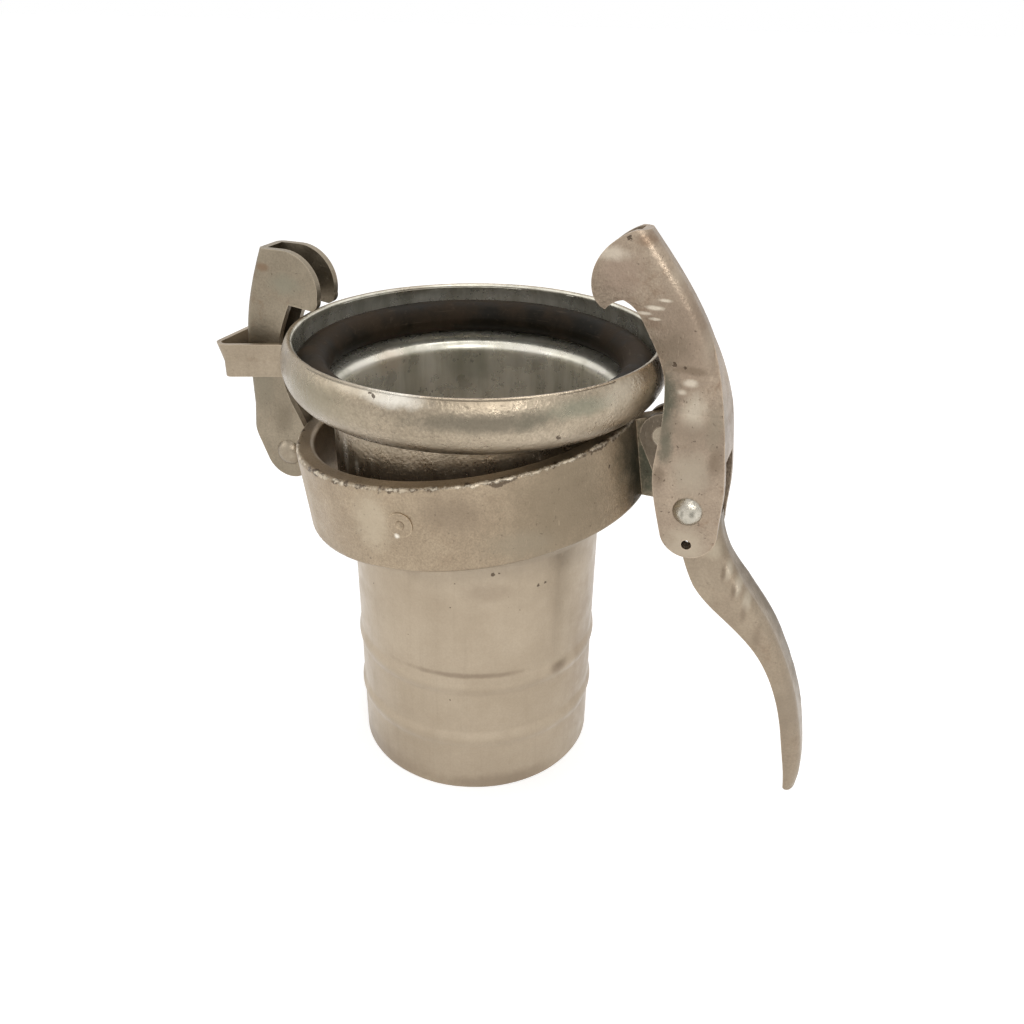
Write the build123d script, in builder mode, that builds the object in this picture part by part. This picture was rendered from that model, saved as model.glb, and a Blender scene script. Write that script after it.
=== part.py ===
"""Lever-ring quick coupling for irrigation pipe: the female half with its hose tail.

The coupling stands on the cut end of its hose tail. The origin is the centre of that end, +Z runs
up the pipe axis to the cup's rim, and the toggle lever lies on +X. Every length is in millimetres.
"""

import os
from math import atan, cos, degrees, radians, sin

from build123d import *

os.makedirs("parts", exist_ok=True)

# Overall
total_height = 190.0
tail_radius = 52.0
tail_wall = 2.2

# Hose tail: two rolled beads, and a swaged top that slips into the cup's neck
bead_heights = (27.0, 55.0)
bead_rise = 0.9
bead_half_width = 4.5
swage_length = 12.0
swage_cone = 8.0
end_rounding = 0.6
weld_rise = 2.4
weld_drop = 3.4
weld_root = 0.5

# Where the arc of a bead, the weld and a rivet head passes, in shares of its width and height
bead_crown = 0.25
weld_crown = (0.72, 0.55)
head_crown = (0.72, 0.62)

# Pressed cup: a neck widened at its foot for the tail, a tight bend and a half-round bulge
cup_wall = 2.3
neck_radius = 57.3
cup_height = 66.0
socket_depth = 12.5
socket_step = 0.8
socket_gap = 0.3
bend_outer = 2.7
bulge_radius = 15.0
bulge_set_out = 3.2
lip_angle = 38.0
lip_rounding = 0.7

# Seal ring
seal_section = 7.0
seal_set_out = 3.7
seal_drop = 3.965

# Guide bracket round the side hook, outwards from the cup and down from its rim
guide_drop = 13.0
guide_height = 14.7
guide_flare_height = 8.2
guide_flare = 2.2
guide_sheet = 2.1
guide_root_half = 9.6
guide_bend_out = 7.0
guide_web_out = 29.1
guide_spread = 0.44
guide_end_in = 3.0
guide_corner = 0.6

# Closing ring: a loose cast ring that hangs tilted round the neck
ring_gap = 5.8
ring_wall = 7.4
ring_height = 33.8
ring_draft = 0.5
ring_rounding = 1.8
ring_shift = (-3.04, -1.53)
ring_drop = 34.3
ring_tilt = 8.45
ring_tilt_azimuth = 13.0

# Mould mark on the ring's front
mark_azimuth = -88.5
mark_drop = 14.1
mark_radius = 4.8
mark_rise = 0.35
dimple_radius = 2.4
dimple_depth = 0.9

# Both hooks and the lever hang by the cup's rim, so each of their points is given from there as
# (outwards from the cup's widest circle, upwards from its rim), and so is each of their heights

# Side hook, riveted to the ring's lug opposite the lever
hook_width = 16.6
hook_sheet = 3.0
hook_bend = 3.2
hook_pivot_place = (11.4, -64.7)
hook_foot_radius = 11.8
hook_rise = 24.3
hook_nose_place = (5.8, 8.8)
hook_nose_radius = 15.5
hook_web_end = -44.0
left_lug_share = 0.28

# Toe of the right lug, level with the ring's lower edge
lug_toe_place = (6.5, -56.6)
lug_eye_inset = 1.2

# Lever: its cheeks turn on the ring's other lug, its channel ends just over the ground
lever_pivot_place = (3.0, -29.5)
lever_sheet = 2.8
lever_web_lean = (1.1, 3 / 14)
lever_half = 9.3
lever_half_pinched = 6.7
lever_half_tip = 5.6
lever_eye_radius = 9.0
lever_pinch_rise = (-89.0, -77.4)
lever_tip_rise = (-190.0, -144.0)
lever_fold = 4.5

# Catch hook, hung on the lever's rivet
catch_pivot_place = (15.7, -57.0)
catch_sheet = 3.0
catch_web_lean = (1.0, 1 / 3)
catch_half = 6.5
catch_half_ears = 10.0
catch_joggle_rise = (-17.5, -6.0)
catch_web_rise = -35.5
catch_fold = 5.0
catch_foot_place = (16.7, -65.7)
catch_foot_radius = 11.2
lock_hole_place = (16.7, -71.3)
lock_hole_radius = 2.0

# Nearest to the middle that a long edge of a pressed channel lies
fold_edge_offset = 5.0

# Rivets and the hidden pivot pin
rivet_radius = 4.0
rivet_head_radius = 5.75
rivet_head_height = 2.8
running_gap = 0.08
lug_gap = 0.3

# Far enough to cut right through any piece, and what is left above the rim for the hooks
reach = 200.0
headroom = 70.0

# Values that follow from those above
neck_bottom = total_height - cup_height
neck_inner = neck_radius - cup_wall
socket_radius = neck_inner + socket_step
swage_radius = socket_radius - socket_gap
socket_top = neck_bottom + socket_depth
rim_rise = bulge_radius * sin(radians(lip_angle))
bulge_centre_radius = neck_radius + bulge_set_out
bulge_centre_height = total_height - rim_rise
cup_outer = bulge_centre_radius + bulge_radius
bend_centre_radius = neck_radius + bend_outer
bend_centre_height = bulge_centre_height - bulge_radius - bend_outer
seal_radius = bulge_centre_radius + seal_set_out
seal_height = bulge_centre_height - seal_drop
guide_top = total_height - guide_drop
guide_bend_x = -cup_outer - guide_bend_out
guide_web_x = -cup_outer - guide_web_out
guide_end_x = -cup_outer + guide_end_in
ring_radius = neck_radius + ring_gap + ring_wall
ring_centre = (*ring_shift, total_height - ring_drop)
above_all = total_height + headroom
hook_inner_half = hook_width / 2 - hook_sheet
hole_radius = rivet_radius + running_gap
left_lug_half = hook_inner_half - lug_gap
right_lug_half = lever_half_pinched - lever_sheet - lug_gap


def from_rim(side, *places):
    """X and Z of places given outwards from the cup and upwards from its rim; side 1 is +X."""
    return [(side * (cup_outer + out), total_height + rise) for out, rise in places]


(hook_pivot, hook_nose_centre) = from_rim(-1, hook_pivot_place, hook_nose_place)
(lever_pivot, catch_pivot, catch_foot_centre) = from_rim(1, lever_pivot_place, catch_pivot_place, catch_foot_place)
(lock_hole, lug_toe) = from_rim(1, lock_hole_place, lug_toe_place)
hook_top = total_height + hook_rise
lever_pinch_bottom, lever_pinch_top = (total_height + rise for rise in lever_pinch_rise)
lever_tip_bottom, lever_tip_top = (total_height + rise for rise in lever_tip_rise)
catch_joggle_bottom, catch_joggle_top = (total_height + rise for rise in catch_joggle_rise)
catch_web_end = total_height + catch_web_rise
lever_half_widths = [
    (-reach, lever_half_tip),
    (lever_tip_bottom, lever_half_tip),
    (lever_tip_top, lever_half),
    (lever_pinch_bottom, lever_half),
    (lever_pinch_top, lever_half_pinched),
    (above_all, lever_half_pinched),
]
catch_half_widths = [
    (0, catch_half_ears),
    (catch_joggle_bottom, catch_half_ears),
    (catch_joggle_top, catch_half),
    (above_all, catch_half),
]


def ring_frame():
    """Plane of the ring's top face, its Z along the ring's own axis, its X towards the lever."""
    lean = radians(ring_tilt)
    turn = radians(ring_tilt_azimuth)
    axis = Vector(-sin(lean) * cos(turn), -sin(lean) * sin(turn), cos(lean))
    across = Vector(0, 1, 0).cross(axis)
    return Plane(origin=ring_centre, x_dir=across, z_dir=axis)


def on_ring_wall(side, height):
    """X and Z of a point halfway through the ring's wall, height below its top face."""
    point = ring_frame().from_local_coords(Vector(side * (ring_radius - ring_wall / 2), 0, -height))
    return (point.X, point.Z)


def polar(centre, radius, angle):
    """X and Z of the point on a circle, angle in degrees from +X towards +Z."""
    return (centre[0] + radius * cos(radians(angle)), centre[1] + radius * sin(radians(angle)))


def save(piece, name):
    """Give the finished piece its label and write its file."""
    piece.part.label = name
    export_step(piece.part, f"parts/{name}.step")


def fold_edges(piece, back, lowest=-reach):
    """Long edges on both sides of the two faces along back, above a lowest height."""
    middle = back[len(back) // 2]
    webs = piece.faces().sort_by_distance(Vector(middle[0], 0, middle[1]))[:2]
    edges = webs[0].edges() + webs[1].edges()
    return edges.filter_by(lambda edge: abs(edge.center().Y) > fold_edge_offset and edge.center().Z > lowest)


def rivet(pivot, half_grip):
    """Round rivet along Y with a domed head on each side, half_grip from the middle to each head."""
    with BuildPart() as made:
        with BuildSketch(Plane.XY):
            with BuildLine():
                start = (0, -half_grip - rivet_head_height)
                foot = (rivet_head_radius, -half_grip)
                crown = (rivet_head_radius * head_crown[0], -half_grip - rivet_head_height * head_crown[1])
                ThreePointArc(start, crown, foot)
                Line(foot, (rivet_radius, -half_grip))
                Line((rivet_radius, -half_grip), (rivet_radius, 0))
                Line((rivet_radius, 0), (0, 0))
                Line((0, 0), start)
            make_face()
        revolve(axis=Axis.Y)
        mirror(about=Plane.XZ)
    return Pos(pivot[0], 0, pivot[1]) * made.part


# Cup
with BuildPart() as cup:
    with BuildSketch(Plane.XZ):
        with BuildLine():
            centre = (bulge_centre_radius, bulge_centre_height)
            bend_centre = (bend_centre_radius, bend_centre_height)
            inner_radius = bulge_radius - cup_wall
            bend_inner = bend_outer + cup_wall
            Line((neck_radius, neck_bottom), (neck_radius, bend_centre_height))
            CenterArc(bend_centre, bend_outer, 180, -90)
            Line(polar(bend_centre, bend_outer, 90), polar(centre, bulge_radius, -90))
            CenterArc(centre, bulge_radius, -90, 90 + lip_angle)
            Line(polar(centre, bulge_radius, lip_angle), polar(centre, inner_radius, lip_angle))
            CenterArc(centre, inner_radius, lip_angle, -90 - lip_angle)
            Line(polar(centre, inner_radius, -90), polar(bend_centre, bend_inner, 90))
            CenterArc(bend_centre, bend_inner, 90, 90)
            Line((neck_inner, bend_centre_height), (neck_inner, socket_top))
            Line((neck_inner, socket_top), (socket_radius, socket_top))
            Line((socket_radius, socket_top), (socket_radius, neck_bottom))
            Line((socket_radius, neck_bottom), (neck_radius, neck_bottom))
        make_face()
    revolve(axis=Axis.Z)
    fillet(cup.edges().group_by(Axis.Z)[-1], lip_rounding)
save(cup, "cup")

# Seal ring
with BuildPart() as seal_ring:
    with BuildSketch(Plane.XZ):
        with Locations((seal_radius, seal_height)):
            Circle(seal_section)
    revolve(axis=Axis.Z)
save(seal_ring, "seal_ring")


def tail_wall_line(offset):
    """One side of the tail's wall from its cut end to its swaged top, offset inwards."""
    radius = tail_radius - offset
    swaged = swage_radius - offset
    height = 0
    for bead in bead_heights:
        Line((radius, height), (radius, bead - bead_half_width))
        ThreePointArc(
            (radius, bead - bead_half_width),
            (radius + bead_rise, bead + bead_half_width * bead_crown),
            (radius, bead + bead_half_width),
        )
        height = bead + bead_half_width
    cone_top = neck_bottom - weld_drop
    Line((radius, height), (radius, cone_top - swage_cone))
    Line((radius, cone_top - swage_cone), (swaged, cone_top))
    Line((swaged, cone_top), (swaged, neck_bottom + swage_length))


# Hose tail with its weld bead under the neck
with BuildPart() as hose_tail:
    with BuildSketch(Plane.XZ):
        with BuildLine():
            tail_wall_line(0)
            tail_wall_line(tail_wall)
            tail_top = neck_bottom + swage_length
            Line((tail_radius, 0), (tail_radius - tail_wall, 0))
            Line((swage_radius, tail_top), (swage_radius - tail_wall, tail_top))
        make_face()
    revolve(axis=Axis.Z)
    fillet(hose_tail.edges().group_by(Axis.Z)[0], end_rounding)
    with BuildSketch(Plane.XZ):
        with BuildLine():
            weld_foot = (swage_radius - weld_root, neck_bottom - weld_drop)
            weld_edge = (swage_radius + weld_rise, neck_bottom)
            middle = (swage_radius + weld_rise * weld_crown[0], neck_bottom - weld_drop * weld_crown[1])
            ThreePointArc(weld_foot, middle, weld_edge)
            Polyline(weld_edge, (swage_radius - weld_root, neck_bottom), weld_foot)
        make_face()
    revolve(axis=Axis.Z)
save(hose_tail, "hose_tail")


def guide_plan(offset):
    """Plan of the guide's strap at an outward offset from its inner face, closed across the cup."""
    slope = guide_spread
    stretch = (1 + slope**2) ** 0.5
    web_x = guide_web_x - offset
    root_half = guide_root_half + offset
    bend_x = guide_bend_x - offset * (stretch - 1) / slope
    corner_half = root_half + slope * (bend_x - web_x)
    arm = [(0, root_half), (bend_x, root_half), (web_x, corner_half)]
    Polyline(*arm, *[(x, -y) for x, y in reversed(arm)], close=True)


def guide_block(offset):
    """Solid plug of the strap's plan: straight below, flared outwards above."""
    flare_angle = -degrees(atan(guide_flare / guide_flare_height))
    with BuildPart() as plug:
        with BuildSketch(Plane.XY.offset(guide_top - guide_height)) as plan:
            with BuildLine():
                guide_plan(offset)
            make_face()
            fillet(plan.vertices().sort_by(Axis.X)[:2], guide_corner + offset)
        extrude(amount=guide_height - guide_flare_height)
        with BuildSketch(Plane.XY.offset(guide_top - guide_flare_height)) as upper_plan:
            with BuildLine():
                guide_plan(offset)
            make_face()
            fillet(upper_plan.vertices().sort_by(Axis.X)[:2], guide_corner + offset)
        extrude(amount=guide_flare_height, taper=flare_angle)
    return plug.part


# Guide bracket: a bent strap, flared at its upper edge, welded to the cup by its two ends
with BuildPart() as guide_bracket:
    add(guide_block(guide_sheet))
    add(guide_block(0), mode=Mode.SUBTRACT)
    with Locations((guide_end_x - reach / 2, 0, guide_top - guide_height / 2)):
        Box(reach, reach, reach, mode=Mode.INTERSECT)
    with BuildSketch(Plane.XZ):
        with Locations((bulge_centre_radius, bulge_centre_height)):
            Circle(bulge_radius)
        with Locations((bulge_centre_radius / 2, bulge_centre_height)):
            Rectangle(bulge_centre_radius, 2 * bulge_radius)
    revolve(axis=Axis.Z, mode=Mode.SUBTRACT)
save(guide_bracket, "guide_bracket")

# Closing ring with its two lugs
with BuildPart() as closing_ring:
    frame = ring_frame()
    with BuildSketch(Plane(origin=frame.origin, x_dir=frame.x_dir, z_dir=-frame.y_dir)) as profile:
        with BuildLine():
            Polyline(
                (ring_radius - ring_wall, 0),
                (ring_radius, 0),
                (ring_radius + ring_draft, -ring_height),
                (ring_radius - ring_wall, -ring_height),
                close=True,
            )
        make_face()
        fillet(profile.vertices(), ring_rounding)
    revolve(axis=Axis(frame.origin, frame.z_dir))
    # Left lug
    with BuildSketch(Plane.XZ):
        with BuildLine():
            foot_high = on_ring_wall(-1, ring_height * left_lug_share)
            foot_low = on_ring_wall(-1, ring_height - ring_rounding)
            eye_radius = hook_foot_radius - hook_sheet
            high = polar(hook_pivot, eye_radius, 100)
            far = polar(hook_pivot, eye_radius, 180)
            low = polar(hook_pivot, eye_radius, 265)
            Line(foot_high, high)
            ThreePointArc(high, far, low)
            Line(low, foot_low)
            Line(foot_low, foot_high)
        make_face()
    extrude(amount=left_lug_half, both=True)
    # Right lug
    with BuildSketch(Plane.XZ):
        with BuildLine():
            foot_high = on_ring_wall(1, ring_rounding)
            foot_low = on_ring_wall(1, ring_height - ring_rounding)
            eye_radius = lever_eye_radius - lug_eye_inset
            high = polar(lever_pivot, eye_radius, 95)
            far = polar(lever_pivot, eye_radius, 35)
            low = polar(lever_pivot, eye_radius, -20)
            Line(foot_high, high)
            ThreePointArc(high, far, low)
            Polyline(low, lug_toe, foot_low, foot_high)
        make_face()
    extrude(amount=right_lug_half, both=True)
    # Round mould mark with a dimple, on the front
    turn = radians(mark_azimuth)
    out = frame.x_dir * cos(turn) + frame.y_dir * sin(turn)
    mark_centre = frame.origin + out * (ring_radius - ring_wall / 2) - frame.z_dir * mark_drop
    mark_height = ring_wall / 2 + ring_draft * mark_drop / ring_height + mark_rise
    with BuildSketch(Plane(origin=mark_centre, x_dir=frame.z_dir, z_dir=out)):
        Circle(mark_radius)
    extrude(amount=mark_height)
    with Locations(mark_centre + out * (mark_height + dimple_radius - dimple_depth)):
        Sphere(dimple_radius, mode=Mode.SUBTRACT)
    # Rivet and pin holes
    for centre in (hook_pivot, lever_pivot):
        with BuildSketch(Plane.XZ):
            with Locations(centre):
                Circle(rivet_radius)
        extrude(amount=hook_width, both=True, mode=Mode.SUBTRACT)
save(closing_ring, "closing_ring")

# Side hook
with BuildPart() as side_hook:
    with BuildSketch(Plane.XZ):
        with BuildLine():
            back = from_rim(-1, (16.7, hook_rise), (22.0, 10.6), (25.9, -3.5), (27.7, -18.0), (27.7, -32.0))
            web_end = (back[-1][0], total_height + hook_web_end)
            (heel,) = from_rim(-1, (28.7, -53.0))
            foot_start = polar(hook_pivot, hook_foot_radius, 205)
            foot_end = polar(hook_pivot, hook_foot_radius, 15)
            inner = from_rim(-1, (3.3, -49.0), (8.5, -38.0), (11.1, -27.0), (10.9, -15.0), (7.7, -5.0))
            notch, tip_end, tip_round = from_rim(-1, (4.3, 2.4), (-6.2, 1.0), (-8.4, 2.2))
            Spline(*back)
            Polyline(back[-1], web_end, heel, foot_start)
            ThreePointArc(foot_start, polar(hook_pivot, hook_foot_radius, -80), foot_end)
            Spline(foot_end, *inner, notch)
            tip_start = polar(hook_nose_centre, hook_nose_radius, -12)
            Line(notch, tip_end)
            ThreePointArc(tip_end, tip_round, tip_start)
            nose_top = polar(hook_nose_centre, hook_nose_radius, 90)
            ThreePointArc(tip_start, polar(hook_nose_centre, hook_nose_radius, 40), nose_top)
            Line(nose_top, back[0])
        make_face()
    extrude(amount=hook_width / 2, both=True)
    outer_bends = side_hook.edges().filter_by(
        lambda edge: abs(abs(edge.center().Y) - hook_width / 2) < 0.01
        and edge.center().X < hook_pivot[0]
        and edge.center().Z > heel[1]
        and edge.center().Z < hook_top - 1
    )
    fillet(outer_bends, hook_bend)
    with BuildSketch(Plane.XZ):
        with BuildLine():
            inner_back = [(x + hook_sheet, z) for x, z in back]
            inner_web_end = (web_end[0] + hook_sheet, web_end[1])
            heel_inner = (heel[0] + hook_sheet, heel[1])
            Line((inner_back[0][0], above_all), inner_back[0])
            Spline(*inner_back)
            Polyline(inner_back[-1], inner_web_end, heel_inner, (-reach, heel[1]), (-reach, 0), (0, 0))
            Polyline((0, 0), (0, above_all), (inner_back[0][0], above_all))
        make_face()
    extrude(amount=hook_inner_half, both=True, mode=Mode.SUBTRACT)
    with BuildSketch(Plane.XZ):
        with Locations(hook_pivot):
            Circle(hole_radius)
    extrude(amount=hook_width, both=True, mode=Mode.SUBTRACT)
save(side_hook, "side_hook")

# Side hook's rivet
with BuildPart() as side_hook_rivet:
    add(rivet(hook_pivot, hook_width / 2 + running_gap))
save(side_hook_rivet, "side_hook_rivet")

lever_back = from_rim(
    1, (27.7, -59.0), (32.8, -75.2), (41.9, -88.4), (52.3, -102.0),
    (60.7, -117.6), (67.7, -135.2), (72.5, -155.5), (74.5, -174.0), (73.9, -181.6),
)
lever_front = from_rim(
    1, (69.3, -182.0), (68.5, -175.0), (65.9, -160.9), (62.7, -144.8), (57.7, -129.7),
    (49.9, -116.0), (37.2, -103.9), (23.5, -92.1), (15.8, -79.1), (11.0, -66.0),
)
(lever_end,) = from_rim(1, (71.7, -183.2))


def trim_to_section(half_widths, inset):
    """Keep what lies between the given half-widths along Z, less an inset on each side."""
    right = [(half - inset, height) for height, half in half_widths]
    with BuildSketch(Plane.YZ) as section:
        with BuildLine():
            Polyline(*right, *[(-y, z) for y, z in reversed(right)], close=True)
        make_face()
    extrude(section.sketch, amount=reach, mode=Mode.INTERSECT)


# Lever
with BuildPart() as lever_hollow:
    with BuildSketch(Plane.XZ):
        with BuildLine():
            inset, drop = (lever_sheet * share for share in lever_web_lean)
            inner_back = [(x - inset, z - drop) for x, z in lever_back]
            inner_back[0] = (lever_back[0][0] - lever_sheet, lever_back[0][1])
            below = (inner_back[-1][0], -reach)
            Spline(*inner_back)
            Polyline(inner_back[-1], below, (0, -reach), (0, above_all), (reach, above_all))
            Polyline((reach, above_all), (reach, lever_back[0][1]), inner_back[0])
        make_face()
    extrude(amount=lever_half, both=True)
    trim_to_section(lever_half_widths, lever_sheet)

with BuildPart() as lever:
    with BuildSketch(Plane.XZ):
        with BuildLine():
            eye_right = polar(lever_pivot, lever_eye_radius, 35)
            eye_left = polar(lever_pivot, lever_eye_radius, 200)
            Spline(*lever_back)
            ThreePointArc(lever_back[-1], lever_end, lever_front[0])
            Spline(*lever_front)
            Line(lever_front[-1], eye_left)
            ThreePointArc(eye_left, polar(lever_pivot, lever_eye_radius, 110), eye_right)
            Line(eye_right, lever_back[0])
        make_face()
    extrude(amount=lever_half, both=True)
    trim_to_section(lever_half_widths, 0)
    joggle = lever.edges().filter_by_position(Axis.Z, lever_pinch_top - 0.1, lever_pinch_top + 0.1)
    fillet(fold_edges(lever, lever_back) + joggle, lever_fold)
    add(lever_hollow.part, mode=Mode.SUBTRACT)
    with BuildSketch(Plane.XZ):
        with Locations(lever_pivot, catch_pivot):
            Circle(hole_radius)
        with Locations(lock_hole):
            Circle(lock_hole_radius)
    extrude(amount=lever_half, both=True, mode=Mode.SUBTRACT)
save(lever, "lever")

# Pin on which the lever turns in the ring's lug
with BuildPart() as lever_pivot_pin:
    with BuildSketch(Plane.XZ):
        with Locations(lever_pivot):
            Circle(rivet_radius)
    extrude(amount=lever_half_pinched, both=True)
save(lever_pivot_pin, "lever_pivot_pin")

catch_back = from_rim(
    1, (-9.0, 44.7), (-0.5, 34.4), (7.9, 23.0), (14.8, 11.5), (19.9, 0.0), (23.4, -11.5), (25.9, -24.0),
)
catch_heel = from_rim(1, (27.2, -35.0), (28.3, -48.0), (27.9, -60.0))
catch_inner = from_rim(
    1, (2.7, -56.0), (0.9, -44.0), (1.8, -32.0), (2.6, -22.0), (1.9, -10.0),
    (-1.1, 0.0), (-6.3, 9.6), (-11.5, 17.2), (-16.1, 20.0),
)
catch_nose = from_rim(
    1, (-22.6, 16.0), (-26.9, 19.6), (-28.3, 25.5), (-26.5, 33.2), (-20.5, 40.4), (-13.5, 44.4),
)
(catch_throat,) = from_rim(1, (-19.5, 18.8))


# Catch hook
with BuildPart() as catch_hollow:
    with BuildSketch(Plane.XZ):
        with BuildLine():
            inset, drop = (catch_sheet * share for share in catch_web_lean)
            inner_back = [(x - inset, z - drop) for x, z in catch_back]
            web_foot = (catch_heel[0][0] - catch_sheet, catch_web_end)
            Line((inner_back[0][0], above_all), inner_back[0])
            Spline(*inner_back)
            Polyline(inner_back[-1], web_foot, (reach, catch_web_end), (reach, 0), (0, 0), (0, above_all))
            Line((0, above_all), (inner_back[0][0], above_all))
        make_face()
    extrude(amount=catch_half_ears, both=True)
    trim_to_section(catch_half_widths, catch_sheet)

with BuildPart() as catch_hook:
    with BuildSketch(Plane.XZ):
        with BuildLine():
            foot_start = polar(catch_foot_centre, catch_foot_radius, 5)
            foot_end = polar(catch_foot_centre, catch_foot_radius, -160)
            Spline(*catch_back, *catch_heel, foot_start)
            ThreePointArc(foot_start, polar(catch_foot_centre, catch_foot_radius, -80), foot_end)
            Spline(foot_end, *catch_inner)
            Spline(catch_inner[-1], catch_throat, catch_nose[0])
            Spline(*catch_nose)
            Line(catch_nose[-1], catch_back[0])
        make_face()
    extrude(amount=catch_half_ears, both=True)
    trim_to_section(catch_half_widths, 0)
    fillet(fold_edges(catch_hook, catch_back, catch_joggle_top), catch_fold)
    add(catch_hollow.part, mode=Mode.SUBTRACT)
    with BuildSketch(Plane.XZ):
        with Locations(catch_pivot):
            Circle(hole_radius)
        with Locations(lock_hole):
            Circle(lock_hole_radius)
    extrude(amount=catch_half_ears, both=True, mode=Mode.SUBTRACT)
save(catch_hook, "catch_hook")

# Rivet that carries the catch hook on the lever
with BuildPart() as catch_rivet:
    add(rivet(catch_pivot, catch_half_ears + running_gap))
save(catch_rivet, "catch_rivet")
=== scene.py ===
import math

import bpy
import numpy as np
from mathutils import Matrix, Vector


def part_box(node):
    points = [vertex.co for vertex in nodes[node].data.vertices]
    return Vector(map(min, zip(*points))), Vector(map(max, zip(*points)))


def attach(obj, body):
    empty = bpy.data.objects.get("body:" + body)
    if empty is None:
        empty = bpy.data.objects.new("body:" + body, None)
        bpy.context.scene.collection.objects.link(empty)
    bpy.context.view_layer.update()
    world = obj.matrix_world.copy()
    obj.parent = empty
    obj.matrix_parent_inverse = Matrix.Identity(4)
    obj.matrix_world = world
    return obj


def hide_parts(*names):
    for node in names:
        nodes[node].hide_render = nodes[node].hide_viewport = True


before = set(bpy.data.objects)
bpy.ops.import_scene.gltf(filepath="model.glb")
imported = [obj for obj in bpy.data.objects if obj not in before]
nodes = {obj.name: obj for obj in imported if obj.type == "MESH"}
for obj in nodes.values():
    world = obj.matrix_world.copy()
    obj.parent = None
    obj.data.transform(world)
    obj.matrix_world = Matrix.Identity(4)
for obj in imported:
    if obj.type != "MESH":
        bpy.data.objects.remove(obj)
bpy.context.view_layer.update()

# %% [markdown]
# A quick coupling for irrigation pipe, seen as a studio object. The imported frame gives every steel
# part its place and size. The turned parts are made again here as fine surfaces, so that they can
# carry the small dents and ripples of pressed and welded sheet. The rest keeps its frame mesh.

MM = 0.001


# %% [markdown]
# The camera stands where the photographer stood: a little above the cup, looking down at the
# coupling from the lever's front side. Its place was solved from the round edges of the object,
# with no shift and no cropping.

# %% Camera
sensor = 36.0
lens = 32.92
camera_place = Vector((139.1, -327.6, 300.6)) * MM
turn_to_object = math.radians(23.0)
yaw, pitch, roll = (math.radians(a) for a in (2.45, 28.27, 1.06))

forward = Vector((math.sin(yaw) * math.cos(pitch), math.cos(yaw) * math.cos(pitch), -math.sin(pitch)))
right = Vector((math.cos(yaw), -math.sin(yaw), 0))
up = right.cross(forward)
rolled_right = right * math.cos(roll) + up * math.sin(roll)
rolled_up = up * math.cos(roll) - right * math.sin(roll)
columns = Matrix((rolled_right, rolled_up, -forward)).transposed()
turned = Matrix.Rotation(turn_to_object, 3, "Z") @ columns

camera = bpy.data.objects.new("camera", bpy.data.cameras.new("camera"))
camera.data.sensor_width = sensor
camera.data.lens = lens
camera.data.clip_start = 0.01
camera.data.clip_end = 100
camera.matrix_world = Matrix.Translation(camera_place) @ turned.to_4x4()
bpy.context.scene.collection.objects.link(camera)
bpy.context.scene.camera = camera
bpy.context.scene.view_settings.view_transform = "Standard"
print("camera lens:", lens, "mm")


# %% [markdown]
# A finish is a small network of nodes. A few helpers keep such networks short: put adds a node and
# fills its sockets, mask turns a grey into a soft step between two limits, blend mixes two colours,
# and the rest are noise, stretched coordinates and sums on numbers and vectors.

# %% Node helpers
def put(tree, kind, sockets=None, **settings):
    """Add a node, set its own settings, then link or fill the named or numbered sockets."""
    made = tree.nodes.new(kind)
    for name, value in settings.items():
        setattr(made, name, value)
    for name, value in (sockets or {}).items():
        socket = made.inputs[name]
        if isinstance(value, bpy.types.NodeSocket):
            tree.links.new(value, socket)
        else:
            socket.default_value = value
    return made


def mask(tree, value, low, high, to_low=0.0, to_high=1.0):
    """Smooth step of a value between two limits."""
    limits = {"Value": value, "From Min": low, "From Max": high, "To Min": to_low, "To Max": to_high}
    return put(tree, "ShaderNodeMapRange", limits, interpolation_type="SMOOTHSTEP").outputs[0]


def blend(tree, amount, first, second, how="MIX"):
    """Mix two colours by an amount."""
    sockets = {0: amount, 6: first, 7: second}
    return put(tree, "ShaderNodeMix", sockets, data_type="RGBA", blend_type=how).outputs[2]


def noise(tree, vector, scale, detail=4.0, rough=0.55):
    """Cloudy noise of a given number of features a metre."""
    sockets = {"Vector": vector, "Scale": scale, "Detail": detail, "Roughness": rough}
    return put(tree, "ShaderNodeTexNoise", sockets).outputs["Fac"]


def stretched(tree, vector, scale, turn=(0, 0, 0)):
    """The same coordinates, turned and then stretched."""
    sockets = {"Vector": vector, "Scale": scale, "Rotation": turn}
    return put(tree, "ShaderNodeMapping", sockets).outputs[0]


def times(tree, first, second):
    """Product of two numbers."""
    return put(tree, "ShaderNodeMath", {0: first, 1: second}, operation="MULTIPLY").outputs[0]


def plus(tree, first, second):
    """Sum of two numbers."""
    return put(tree, "ShaderNodeMath", {0: first, 1: second}, operation="ADD").outputs[0]


def combined(tree, how, first, second):
    """Vector that an operation makes of two vectors."""
    return put(tree, "ShaderNodeVectorMath", {0: first, 1: second}, operation=how).outputs[0]


def measured(tree, how, *vectors):
    """Number that an operation gives for its vectors: a length, a distance or a dot product."""
    return put(tree, "ShaderNodeVectorMath", dict(enumerate(vectors)), operation=how).outputs["Value"]


def shaded(colour, share):
    """A colour times a share, still opaque."""
    return tuple(c * share for c in colour[:3]) + (1,)


# %% [markdown]
# Hot-dip zinc that has weathered goes from bright to a warm stony grey. Up close it shows faint
# clouds, a sandy grain, drag marks, stains, pits, nicks and fine scratches, and its edges are rubbed
# bright. Each of these is one layer here, on object coordinates, so that it stays on the steel
# when a joint moves.

# %% Layers of a metal finish
def grained(tree, where, tone, size, amount):
    """Darken and lighten a tone by a sandy grain of so many features a metre."""
    grain = mask(tree, noise(tree, where, size, 5, 0.75), 0.28, 0.72, 1 - amount, 1 + amount)
    return blend(tree, 1.0, tone, grain, "MULTIPLY")


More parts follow.
